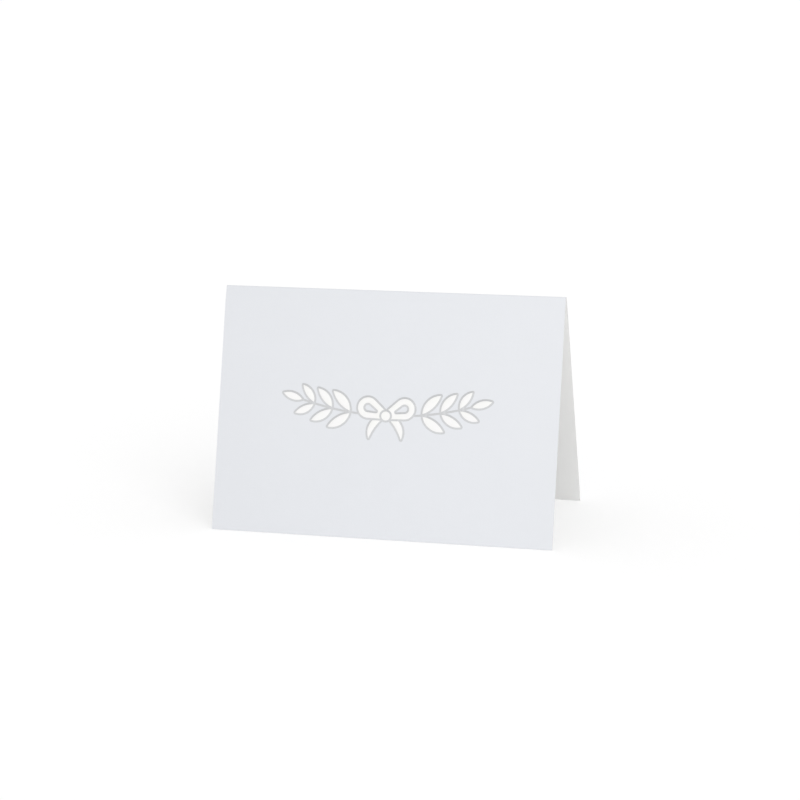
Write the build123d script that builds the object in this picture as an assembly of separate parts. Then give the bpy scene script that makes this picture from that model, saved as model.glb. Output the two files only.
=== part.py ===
"""Folded greeting card, standing like a tent.

One sheet of board is creased across its middle and folded to two equal panels.
It stands on the lower edges of both panels, with the fold on top. A bow between
two leafy sprays is stamped on the front panel: pearl fields within a silver line.

Millimetres. +X runs along the fold, -Y is the front and +Z is up. The origin is
the middle of the footprint, on the surface that the card stands on.
"""

import math
import os

from build123d import *

# The sheet: A5 board folded across to A6.
card_width = 148.0  # along the fold
panel_height = 105.0  # along the board, from the crest of the fold to a lower edge
board_thickness = 0.35

# How it stands.
opening_angle = 36.4  # between the flat parts of the two panels, degrees
fold_radius = 0.55  # of the crease, in the middle of the board's thickness
curl_length = 8.0  # of each panel beside the crease, which keeps a little of the fold's bend
curl_angle = 7.0  # that this stretch turns through, degrees

# The stamped ornament: raised pearl fields, and a lower silver line round their feet.
ornament_drop = 53.0  # its middle below the crest of the fold, along the board
field_height = 0.25
line_height = 0.12
line_width = 0.85

# The bow, in the ornament's middle.
knot_radius = 1.9
loop_reach = 8.6  # from the knot's middle to the middle of a loop's round end
loop_lift = 22.0  # of a loop above the level, degrees
loop_end_radius = 4.3
loop_root_radius = 1.3
loop_band = 2.3  # width of the ribbon round a loop's eye
eye_gap = 1.15  # width of the ribbon between the knot's line and the eye
eye_root_radius = 0.9
tail_length = 12.0
tail_bulge = 3.4  # of a tail's outer side
tail_hollow = 0.8  # of its inner side
tail_drop = 54.0  # of a tail below the level, degrees

# The leafy sprays, one each side of the bow.
stem_radius = 130.0  # of the arc that both stems lie on
stem_width = 0.9
stem_gap = 0.9  # from a stem's middle to the base of a leaf
leaf_pairs = 3
bow_gap = 2.1  # from the bow's line to the base of the first leaves
pair_spacing = 8.15  # along the stem
end_gap = 6.1  # from the last pair to the leaf at the stem's end
leaf_turn = 40.0  # of a leaf away from its stem, degrees
first_leaf = 11.0  # length of the leaves beside the bow
last_leaf = 8.6  # length of the leaves at a spray's end
leaf_outer_share = 0.20  # bulge of a leaf's side towards the bow, as a share of its length
leaf_inner_share = 0.12  # bulge of its other side

half_opening = math.radians(opening_angle / 2)
half_board = board_thickness / 2
bow_reach = loop_reach * math.cos(math.radians(loop_lift)) + loop_end_radius + line_width
stem_end = bow_reach + bow_gap + pair_spacing * (leaf_pairs - 1) + end_gap
panel_up = Vector(0, math.sin(half_opening), math.cos(half_opening))
panel_out = Vector(0, -math.cos(half_opening), math.sin(half_opening))


# The sheet. Its section is drawn in the YZ plane, with the crest of the fold at the origin.


def section_corners():
    """Corners of the board's middle line, from the crest down the front panel.

    Each is a point, with the board's slope below the level there, in radians.
    """
    curl = math.radians(curl_angle)
    crease = math.pi / 2 - half_opening - curl
    flat_length = panel_height - fold_radius * crease - curl_length
    point, slope = Vector(0, 0), 0.0
    corners = [(point, slope)]
    for radius, turn in ((fold_radius, crease), (curl_length / curl, curl)):
        for share in (0.5, 1.0):
            bent = slope + turn * share
            step = Vector(math.sin(slope) - math.sin(bent), math.cos(bent) - math.cos(slope))
            corners.append((point + step * radius, bent))
        point, slope = corners[-1]
    corners.append((point - Vector(math.cos(slope), math.sin(slope)) * flat_length, slope))
    return corners


def board_face(distance):
    """The section's line that far outside its middle: its edges from foot to foot, and its foot."""
    crest, crease_middle, crease_end, curl_middle, curl_end, foot = [
        point + Vector(-math.sin(slope), math.cos(slope)) * distance
        for point, slope in section_corners()
    ]
    front = [
        Line(foot, curl_end),
        ThreePointArc(curl_end, curl_middle, crease_end),
        ThreePointArc(crease_end, crease_middle, crest),
    ]
    return front + [edge.mirror(Plane.YZ) for edge in front], foot


outside, outer_foot = board_face(half_board)
inside, inner_foot = board_face(-half_board)


def folded_card():
    """The whole sheet: a strip of even thickness, as wide as the card, on its inner corners."""
    cut = Line(outer_foot, inner_foot)
    strip = make_face(Curve() + outside + inside + [cut, cut.mirror(Plane.YZ)])
    standing = Pos(0, -inner_foot.Y) * strip
    return Pos(-card_width / 2, 0, 0) * extrude(Plane.YZ * standing, card_width)


# The ornament, drawn flat with its middle at the origin.


def petal(length, left_bulge, right_bulge):
    """A pointed field along X from the origin, between an arc on its left and one on its right."""
    left = ThreePointArc((0, 0), (length / 2, left_bulge), (length, 0))
    right = ThreePointArc((length, 0), (length / 2, -right_bulge), (0, 0))
    return make_face(Curve() + [left, right])


def drop(start, start_radius, end, end_radius):
    """A field along X, tapering between two round ends."""
    ends = Pos(start, 0) * Circle(start_radius) + Pos(end, 0) * Circle(end_radius)
    return make_hull(ends.edges())


def lined(field):
    """A field with the silver line's width added all round."""
    return offset(field, line_width, kind=Kind.ARC)


def bow():
    """The bow's pearl fields, and the ground that its stems stop at."""
    knot = Circle(knot_radius)
    loop_ground = Rot(0, 0, loop_lift) * drop(0, loop_root_radius, loop_reach, loop_end_radius)
    eye_start = knot_radius + line_width + eye_gap + eye_root_radius
    eye_radius = loop_end_radius - loop_band
    eye = Rot(0, 0, loop_lift) * drop(eye_start, eye_root_radius, loop_reach, eye_radius)
    loop = loop_ground - eye - lined(knot)
    tail = Rot(0, 0, -tail_drop) * petal(tail_length, tail_bulge, -tail_hollow)
    tail = tail - lined(knot) - lined(loop_ground)
    return [knot, *both_sides([loop, tail])], [knot, *both_sides([loop_ground])]


def on_stem(distance, turn=0.0):
    """Place on the right-hand stem, that far along its arc, with X turned from the stem's way."""
    angle = math.degrees(distance / stem_radius)
    return Pos(0, stem_radius) * Rot(0, 0, angle) * Pos(0, -stem_radius) * Rot(0, 0, turn)


def spray():
    """The right-hand spray's leaves: pairs along the stem, and one at its end."""
    leaves = []
    for pair in range(leaf_pairs):
        share = pair / max(leaf_pairs - 1, 1)
        distance = bow_reach + bow_gap + pair_spacing * pair
        length = first_leaf + (last_leaf - first_leaf) * share
        upper = petal(length, length * leaf_outer_share, length * leaf_inner_share)
        lower = petal(length, length * leaf_inner_share, length * leaf_outer_share)
        leaves.append(on_stem(distance, leaf_turn) * Pos(stem_gap, 0) * upper)
        leaves.append(on_stem(distance, -leaf_turn) * Pos(stem_gap, 0) * lower)
    even_share = (leaf_outer_share + leaf_inner_share) / 2
    end_leaf = petal(last_leaf, last_leaf * even_share, last_leaf * even_share)
    return leaves + [on_stem(stem_end) * end_leaf]


def stems():
    """Both stems as one band along their arc."""
    reach = math.degrees(stem_end / stem_radius)
    ring = Circle(stem_radius + stem_width / 2) - Circle(stem_radius - stem_width / 2)
    sector = make_face(
        Polyline(
            (0, 0),
            Vector(2 * stem_radius, 0).rotate(Axis.Z, -90 - reach),
            Vector(2 * stem_radius, 0).rotate(Axis.Z, -90 + reach),
            close=True,
        )
    )
    return Pos(0, stem_radius) * (ring & sector)


def both_sides(fields):
    """Those fields and their mirror images on the left."""
    return fields + [field.mirror(Plane.YZ) for field in fields]


def ornament():
    """The pearl fields, and the silver line round them all."""
    bow_fields, bow_ground = bow()
    fields = Sketch() + bow_fields + both_sides(spray())
    lines = Sketch() + [lined(field) for field in fields.faces()] + (stems() - bow_ground)
    return fields, lines - fields


def stamped(flat_shape, thickness):
    """A flat shape laid on the front panel's outer face, that thick."""
    foot = Vector(0, outer_foot.X, outer_foot.Y - inner_foot.Y)
    middle = foot + panel_up * (panel_height - ornament_drop)
    return extrude(Plane(middle, x_dir=(1, 0, 0), z_dir=panel_out) * flat_shape, thickness)


pearl, silver = ornament()
os.makedirs("parts", exist_ok=True)
export_step(folded_card(), "parts/card.step")
export_step(stamped(silver, line_height), "parts/silver_outline.step")
export_step(stamped(pearl, field_height), "parts/pearl_fill.step")
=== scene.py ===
"""Folded greeting card: one creased sheet of board, with a raised stamp in silver and pearl.

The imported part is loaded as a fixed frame, and the sheet and the stamp are modelled on it.
Metres. +X runs along the fold, -Y is the front and +Z is up. The origin is the middle of
the footprint, on the table.
"""

import math

import bmesh
import bpy
from mathutils import Matrix, Vector
from mathutils.bvhtree import BVHTree


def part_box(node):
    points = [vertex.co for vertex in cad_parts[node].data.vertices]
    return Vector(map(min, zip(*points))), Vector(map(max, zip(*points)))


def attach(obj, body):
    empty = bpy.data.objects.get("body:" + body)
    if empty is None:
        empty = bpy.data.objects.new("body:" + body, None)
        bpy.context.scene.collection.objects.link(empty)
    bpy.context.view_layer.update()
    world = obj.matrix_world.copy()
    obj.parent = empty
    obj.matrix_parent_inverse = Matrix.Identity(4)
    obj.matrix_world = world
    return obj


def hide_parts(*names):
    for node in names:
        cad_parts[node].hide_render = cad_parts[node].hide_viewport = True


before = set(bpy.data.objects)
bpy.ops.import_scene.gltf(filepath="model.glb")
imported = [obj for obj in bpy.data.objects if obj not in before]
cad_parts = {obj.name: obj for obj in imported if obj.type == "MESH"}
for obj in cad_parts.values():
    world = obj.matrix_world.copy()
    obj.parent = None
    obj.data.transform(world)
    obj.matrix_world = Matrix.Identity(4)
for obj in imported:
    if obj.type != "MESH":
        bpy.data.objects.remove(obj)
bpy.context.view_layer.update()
mm = 0.001


# ---- The sheet ----
# One sheet of 300 g/m2 board, creased across its middle and folded over by hand. Beside the
# crease each panel keeps a little of the bend. The lower edges are guillotined square, and
# the card stands on their inner corners.

board = 0.35 * mm
panel_height = 105 * mm
crease_radius = 0.55 * mm
curl_length = 8 * mm
curl = math.radians(7)
lean = math.radians(18.2)
crease = math.pi / 2 - lean - curl  # half of the turn at the crest
flat_length = panel_height - crease_radius * crease - curl_length
curl_steps = 8
crease_steps = 24
cut_softness = 0.05 * mm
bend_smoothing = math.radians(35)

low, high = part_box("card")


def facing(turn):
    """The way the board's outer face looks once it has turned that far from the front panel."""
    angle = math.pi - lean - turn
    return Vector((0, math.cos(angle), math.sin(angle)))


# The middle of the sheet's thickness is drawn first, from the front foot and over the fold.
panel_up = Vector((0, math.sin(lean), math.cos(lean)))
foot = Vector((0, low.y, 0)) + Vector((0, math.cos(lean), math.sin(lean))) * board / 2

bpy.ops.object.select_all(action="DESELECT")
bpy.ops.mesh.primitive_plane_add(size=1)
sheet = bpy.context.object
sheet.name = "folded_sheet"
sheet.rotation_euler.x = math.pi / 2 - lean
sheet.scale = (high.x - low.x, flat_length, 1)
sheet.location = foot + panel_up * flat_length / 2
bpy.ops.object.transform_apply(location=True, rotation=True, scale=True)

bpy.ops.object.mode_set(mode="EDIT")
bpy.ops.mesh.select_mode(type="EDGE")
bpy.ops.mesh.select_all(action="DESELECT")
cells = bmesh.from_edit_mesh(sheet.data)
for edge in cells.edges:
    edge.select_set(min(vertex.co.z for vertex in edge.verts) > flat_length / 2)
bmesh.update_edit_mesh(sheet.data)
end = foot + panel_up * flat_length
turned = 0
for radius, turn, steps in (
    (curl_length / curl, curl, curl_steps),
    (crease_radius, 2 * crease, crease_steps),
    (curl_length / curl, curl, curl_steps),
):
    middle = end - facing(turned) * radius
    bpy.ops.mesh.spin(steps=steps, angle=turn, center=middle, axis=(1, 0, 0))
    turned += turn
    end = middle + facing(turned) * radius
down_the_back = Vector((0, math.sin(lean), -math.cos(lean))) * flat_length
bpy.ops.mesh.extrude_region_move(TRANSFORM_OT_translate={"value": down_the_back})
bpy.ops.mesh.select_all(action="SELECT")
bpy.ops.mesh.remove_doubles(threshold=0.001 * mm)
bpy.ops.mesh.normals_make_consistent(inside=False)
bpy.ops.object.mode_set(mode="OBJECT")


def linear(code):
    """An sRGB hex colour as the linear RGBA that a socket holds."""
    shares = [int(code[place : place + 2], 16) / 255 for place in (1, 3, 5)]
    curved = [s / 12.92 if s <= 0.04045 else ((s + 0.055) / 1.055) ** 2.4 for s in shares]
    return (*curved, 1)


def add_node(tree, kind, inputs, **settings):
    """Adds a node. An input's value is a number or colour, or another node's output to link."""
    node = tree.nodes.new(kind)
    for name, value in settings.items():
        setattr(node, name, value)
    for name, value in inputs.items():
        if isinstance(value, bpy.types.NodeSocket):
            tree.links.new(value, node.inputs[name])
        else:
            node.inputs[name].default_value = value
    return node


def new_material(name):
    """A material with an empty tree, as (material, tree, its output node)."""
    material = bpy.data.materials.new(name)
    material.use_nodes = True
    tree = material.node_tree
    tree.nodes.clear()
    return material, tree, tree.nodes.new("ShaderNodeOutputMaterial")


# Felt-marked board. A felt presses a fine criss-cross tooth into the wet sheet. The real
# tooth is about 0.5 mm apart, and is drawn at 1 mm so that it shows in the render.
tooth_pitch = 1.0 * mm
tooth_run = 9 * mm
dimple_pitch = 2.6 * mm
tooth_depth = 0.022 * mm
cloud_size = 14 * mm
paper_ior = 1.45


def board_face(name, pale, deep, roughness):
    """One face of the board: its tooth, and a faint unevenness of the pulp between two tones."""
    material, tree, output = new_material(name)
    place = add_node(tree, "ShaderNodeTexCoord", {}).outputs["Object"]
    down = {"Vector": place, "Scale": (1 / tooth_pitch, 0, 1 / tooth_run)}
    across = {"Vector": place, "Scale": (1 / tooth_run, 0, 1 / tooth_pitch)}
    marks = []
    for stretch in (down, across):
        mapped = add_node(tree, "ShaderNodeMapping", stretch).outputs["Vector"]
        noise = {"Vector": mapped, "Scale": 1, "Detail": 1.5, "Roughness": 0.5}
        marks.append(add_node(tree, "ShaderNodeTexNoise", noise).outputs["Fac"])
    noise = {"Vector": place, "Scale": 1 / dimple_pitch, "Detail": 2, "Roughness": 0.6}
    marks.append(add_node(tree, "ShaderNodeTexNoise", noise).outputs["Fac"])
    criss_cross = add_node(tree, "ShaderNodeMath", {0: marks[0], 1: marks[1]}).outputs[0]
    tooth = add_node(tree, "ShaderNodeMath", {0: criss_cross, 1: marks[2]}).outputs[0]
    relief = {"Height": tooth, "Distance": tooth_depth, "Strength": 1}
    relief = add_node(tree, "ShaderNodeBump", relief).outputs["Normal"]
    noise = {"Vector": place, "Scale": 1 / cloud_size, "Detail": 4, "Roughness": 0.6}
    clouds = add_node(tree, "ShaderNodeTexNoise", noise).outputs["Fac"]
    tones = {0: clouds, 6: linear(pale), 7: linear(deep)}
    tone = add_node(tree, "ShaderNodeMix", tones, data_type="RGBA").outputs[2]
    finish = {"Base Color": tone, "Roughness": roughness, "Normal": relief, "IOR": paper_ior}
    shader = add_node(tree, "ShaderNodeBsdfPrincipled", finish)
    tree.links.new(shader.outputs[0], output.inputs[0])
    return material


# The outer face is coated and optically brightened, so it looks cool and has a faint sheen.
# The inner face is left uncoated: neutral, softer and fully matt.
sheet.data.materials.append(board_face("coated_board", "#e9ebef", "#e7e9ed", 0.55))
sheet.data.materials.append(board_face("bare_board", "#f8f8f7", "#f6f6f5", 0.9))

# The guillotined edge is bare pulp in fine plies, a shade darker than the faces.
ply_pitch = 0.25 * mm
ply_depth = 0.02 * mm
cut_board, tree, output = new_material("cut_board")
place = add_node(tree, "ShaderNodeTexCoord", {}).outputs["Object"]
noise = {"Vector": place, "Scale": 1 / ply_pitch, "Detail": 3, "Roughness": 0.7}
plies = add_node(tree, "ShaderNodeTexNoise", noise).outputs["Fac"]
tones = {0: plies, 6: linear("#dedede"), 7: linear("#cdcdcc")}
tone = add_node(tree, "ShaderNodeMix", tones, data_type="RGBA").outputs[2]
relief = {"Height": plies, "Distance": ply_depth, "Strength": 1}
relief = add_node(tree, "ShaderNodeBump", relief).outputs["Normal"]
finish = {"Base Color": tone, "Roughness": 0.9, "Normal": relief, "IOR": paper_ior}
shader = add_node(tree, "ShaderNodeBsdfPrincipled", finish)
tree.links.new(shader.outputs[0], output.inputs[0])
sheet.data.materials.append(cut_board)

wall = sheet.modifiers.new("thickness", "SOLIDIFY")
wall.thickness = board
wall.offset = 0
wall.use_even_offset = True
wall.material_offset = 1  # the inner face
wall.material_offset_rim = 2  # the cut edge
soft = sheet.modifiers.new("cut corners", "BEVEL")
soft.width = cut_softness
soft.segments = 2
soft.limit_method = "ANGLE"
soft.angle_limit = math.radians(60)  # only the cut edge's square corners
for modifier in (wall, soft):
    bpy.ops.object.modifier_apply(modifier=modifier.name)
bpy.ops.object.shade_smooth_by_angle(angle=bend_smoothing)

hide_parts("card")
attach(sheet, "root")


# ---- The stamp ----
# A heated die presses the board up from behind in a low, soft-sided relief, and lays two
# foils on it: silver on the lower slope all round, and pearl on the slope's top and crown.

line_width = 0.85 * mm
relief_width = 1.9 * mm  # from the relief's foot to its crown
relief_height = 0.3 * mm
foil_edge = 0.02 * mm
foil_seat = 0.03 * mm  # the foils' undersides lie in the board by this
cell = 0.4 * mm  # the foils' mesh, fine enough to follow the relief
merged = 0.001 * mm
level_within = math.radians(0.5)  # faces this close to level with each other are one
upright_below = 0.5  # a side wall's normal rises less than this
relief_smoothing = math.radians(50)

to_flat = Matrix.Rotation(lean - math.pi / 2, 4, "X")


def flat_copy(node):
    """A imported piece's merged mesh, laid on its back with its underside level, in small cells."""
    cells = bmesh.new()
    cells.from_mesh(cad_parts[node].data)
    bmesh.ops.transform(cells, matrix=to_flat, verts=cells.verts)
    bmesh.ops.remove_doubles(cells, verts=cells.verts, dist=merged)
    underside = min(vertex.co.z for vertex in cells.verts)
    bmesh.ops.translate(cells, vec=(0, 0, -underside), verts=cells.verts)
    bmesh.ops.dissolve_limit(
        cells, angle_limit=level_within, verts=cells.verts, edges=cells.edges
    )
    for axis in (Vector((1, 0, 0)), Vector((0, 1, 0))):
        places = [vertex.co.dot(axis) for vertex in cells.verts]
        for step in range(math.ceil(min(places) / cell), math.ceil(max(places) / cell)):
            everything = cells.verts[:] + cells.edges[:] + cells.faces[:]
            cut = axis * step * cell
            bmesh.ops.bisect_plane(
                cells, geom=everything, plane_co=cut, plane_no=axis, dist=merged
            )
    cells.normal_update()
    return cells, underside


def upright_faces(cells, wanted):
    """The side walls that are wanted, as a tree to measure distances to."""
    corners, faces = [], []
    for face in cells.faces:
        if abs(face.normal.z) < upright_below and wanted(face.calc_center_median()):
            faces.append(range(len(corners), len(corners) + len(face.verts)))
            corners += [vertex.co.copy() for vertex in face.verts]
    return BVHTree.FromPolygons(corners, [list(face) for face in faces])


# The relief rises from the silver line's outer walls, which are those away from the pearl.
silver_cells, underside = flat_copy("silver_outline")
pearl_cells, _ = flat_copy("pearl_fill")
pearl_walls = upright_faces(pearl_cells, lambda centre: True)
relief_foot = upright_faces(
    silver_cells, lambda centre: pearl_walls.find_nearest(centre)[3] > line_width / 2
)


def stamped_foil(name, cells, material):
    """Presses flat cells up into the relief, stands them on the panel and makes the piece."""
    for vertex in cells.verts:
        if vertex.co.z < foil_seat:
            vertex.co.z = -foil_seat
            continue
        level = Vector((vertex.co.x, vertex.co.y, foil_seat))
        share = min(relief_foot.find_nearest(level)[3] / relief_width, 1)
        vertex.co.z = foil_edge + relief_height * share * share * (3 - 2 * share)
    bmesh.ops.translate(cells, vec=(0, 0, underside), verts=cells.verts)
    bmesh.ops.transform(cells, matrix=to_flat.inverted(), verts=cells.verts)
    mesh = bpy.data.meshes.new(name)
    cells.to_mesh(mesh)
    cells.free()
    piece = bpy.data.objects.new(name, mesh)
    bpy.context.scene.collection.objects.link(piece)
    mesh.materials.append(material)
    bpy.ops.object.select_all(action="DESELECT")
    bpy.context.view_layer.objects.active = piece
    piece.select_set(True)
    bpy.ops.object.shade_smooth_by_angle(angle=relief_smoothing)
    return piece


# Silver stamping foil: a film of vapour-laid aluminium under a clear lacquer, which takes a
# faint grain from the board's tooth below it.
silver_grain = 0.6 * mm
grain_depth = 0.02 * mm
silver, tree, output = new_material("silver_foil")
place = add_node(tree, "ShaderNodeTexCoord", {}).outputs["Object"]
noise = {"Vector": place, "Scale": 1 / silver_grain, "Detail": 2, "Roughness": 0.6}
grain = add_node(tree, "ShaderNodeTexNoise", noise).outputs["Fac"]
relief = {"Height": grain, "Distance": grain_depth, "Strength": 1}
relief = add_node(tree, "ShaderNodeBump", relief).outputs["Normal"]
tones = {0: grain, 6: linear("#dedfe0"), 7: linear("#cacbcd")}
tone = add_node(tree, "ShaderNodeMix", tones, data_type="RGBA").outputs[2]
finish = {"Base Color": tone, "Metallic": 1, "Roughness": 0.32, "Normal": relief}
shader = add_node(tree, "ShaderNodeBsdfPrincipled", finish)
tree.links.new(shader.outputs[0], output.inputs[0])

# Pearl stamping foil: mica flakes in a clear film, near white, with patches that lean to
# green or to rose, and a soft gloss.
patch_size = 5 * mm
flake_size = 0.5 * mm
flake_depth = 0.012 * mm
pearl, tree, output = new_material("pearl_foil")
place = add_node(tree, "ShaderNodeTexCoord", {}).outputs["Object"]
noise = {"Vector": place, "Scale": 1 / patch_size, "Detail": 2, "Roughness": 0.5}
patches = add_node(tree, "ShaderNodeTexNoise", noise).outputs["Fac"]
tones = {0: patches, 6: linear("#fafbf6"), 7: linear("#fbf9fb")}
tone = add_node(tree, "ShaderNodeMix", tones, data_type="RGBA").outputs[2]
noise = {"Vector": place, "Scale": 1 / flake_size, "Detail": 1, "Roughness": 0.5}
flakes = add_node(tree, "ShaderNodeTexNoise", noise).outputs["Fac"]
relief = {"Height": flakes, "Distance": flake_depth, "Strength": 1}
relief = add_node(tree, "ShaderNodeBump", relief).outputs["Normal"]
finish = {"Base Color": tone, "Roughness": 0.4, "Normal": relief, "IOR": 1.5}
finish |= {"Coat Weight": 0.6, "Coat Roughness": 0.2}
shader = add_node(tree, "ShaderNodeBsdfPrincipled", finish)
tree.links.new(shader.outputs[0], output.inputs[0])

silver_line = stamped_foil("silver_line", silver_cells, silver)
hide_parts("silver_outline")
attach(silver_line, "root")

pearl_fields = stamped_foil("pearl_fields", pearl_cells, pearl)
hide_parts("pearl_fill")
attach(pearl_fields, "root")


# ---- The table and the light ----
# A white seamless surface in a white studio: even light from all round, a little less from
# overhead, and one broad soft light from the front right, whose shadow falls back and left.
# The table shows only part of its own shading, over a glow that brings its open parts to white.

floor_size = 12
dome_level = 0.99
dome_to_table = 0.80  # of the dome's level reaches a level surface, as it fades overhead
lamp_share = 0.18  # of the light on a surface that faces it
lamp_spread = math.radians(40)
lamp_turn = math.radians(42)
lamp_height = math.radians(36)
table_light = dome_to_table * dome_level + lamp_share * math.sin(lamp_height)
shadow_strength = 0.65
open_white = 1.01


def shown(tree):
    """1 for what is seen straight on, in a reflection or through glass."""
    path = add_node(tree, "ShaderNodeLightPath", {}).outputs
    either = add_node(
        tree,
        "ShaderNodeMath",
        {0: path["Is Camera Ray"], 1: path["Is Glossy Ray"]},
        operation="MAXIMUM",
    ).outputs[0]
    return add_node(
        tree,
        "ShaderNodeMath",
        {0: either, 1: path["Is Transmission Ray"]},
        operation="MAXIMUM",
    ).outputs[0]


bpy.ops.mesh.primitive_plane_add(size=floor_size)
floor = bpy.context.object
floor.name = "floor"
surface, tree, output = new_material("white_table")
glow = {"Strength": open_white - shadow_strength * table_light, "Color": (1, 1, 1, 1)}
glow = add_node(tree, "ShaderNodeEmission", glow).outputs[0]
grey = (shadow_strength, shadow_strength, shadow_strength, 1)
shaded = add_node(tree, "ShaderNodeBsdfDiffuse", {"Color": grey}).outputs[0]
seen = add_node(tree, "ShaderNodeAddShader", {0: glow, 1: shaded}).outputs[0]
plain = add_node(tree, "ShaderNodeBsdfDiffuse", {"Color": linear("#fcfcfc")}).outputs[0]
mixed = add_node(tree, "ShaderNodeMixShader", {0: shown(tree), 1: plain, 2: seen})
tree.links.new(mixed.outputs[0], output.inputs[0])
floor.data.materials.append(surface)

world = bpy.data.worlds.new("studio")
bpy.context.scene.world = world
world.use_nodes = True
tree = world.node_tree
tree.nodes.clear()
way = add_node(tree, "ShaderNodeTexCoord", {}).outputs["Generated"]
height = add_node(tree, "ShaderNodeSeparateXYZ", {0: way}).outputs["Z"]
fade = {"Value": height, "From Min": 0.2, "From Max": 0.9, "To Min": 1, "To Max": 0.7}
fade = add_node(tree, "ShaderNodeMapRange", fade).outputs[0]
dome = add_node(tree, "ShaderNodeMath", {0: fade, 1: dome_level}, operation="MULTIPLY").outputs[0]
dome = {"Color": (1, 1, 1, 1), "Strength": dome}
dome = add_node(tree, "ShaderNodeBackground", dome).outputs[0]
backdrop = {"Color": (1, 1, 1, 1), "Strength": fade}
backdrop = add_node(tree, "ShaderNodeBackground", backdrop).outputs[0]
mixed = add_node(tree, "ShaderNodeMixShader", {0: shown(tree), 1: dome, 2: backdrop})
output = add_node(tree, "ShaderNodeOutputWorld", {"Surface": mixed.outputs[0]})

lamp = bpy.data.lights.new("soft_lamp", "SUN")
lamp.angle = lamp_spread
lamp.energy = lamp_share * math.pi
lamp_object = bpy.data.objects.new("soft_lamp", lamp)
bpy.context.scene.collection.objects.link(lamp_object)
lamp_way = Vector(
    (
        math.sin(lamp_turn) * math.cos(lamp_height),
        -math.cos(lamp_turn) * math.cos(lamp_height),
        math.sin(lamp_height),
    )
)
lamp_object.location = lamp_way
lamp_object.rotation_euler = lamp_way.to_track_quat("Z", "Y").to_euler()


# ---- The camera ----
# It stands in front, a little to the right and a little above, and is level within a degree
# or so.

camera_turn = math.radians(14.65)
camera_height = math.radians(15.56)
camera_roll = math.radians(-1.275)
camera_distance = 966.97 * mm
aim = Vector((math.cos(camera_turn), math.sin(camera_turn), 0)) * 1.71 * mm
aim += Vector((0, 0, 51.66 * mm))

camera = bpy.data.cameras.new("camera")
camera.sensor_width = 36
camera.lens = 101.62
camera_object = bpy.data.objects.new("camera", camera)
bpy.context.scene.collection.objects.link(camera_object)
bpy.context.scene.camera = camera_object
away = Vector(
    (
        math.sin(camera_turn) * math.cos(camera_height),
        -math.cos(camera_turn) * math.cos(camera_height),
        math.sin(camera_height),
    )
)
upright = away.to_track_quat("Z", "Y").to_matrix().to_4x4()
rolled = upright @ Matrix.Rotation(camera_roll, 4, "Z")
camera_object.matrix_world = Matrix.Translation(aim + away * camera_distance) @ rolled
camera.clip_start = 10 * mm

bpy.context.scene.view_settings.view_transform = "Standard"

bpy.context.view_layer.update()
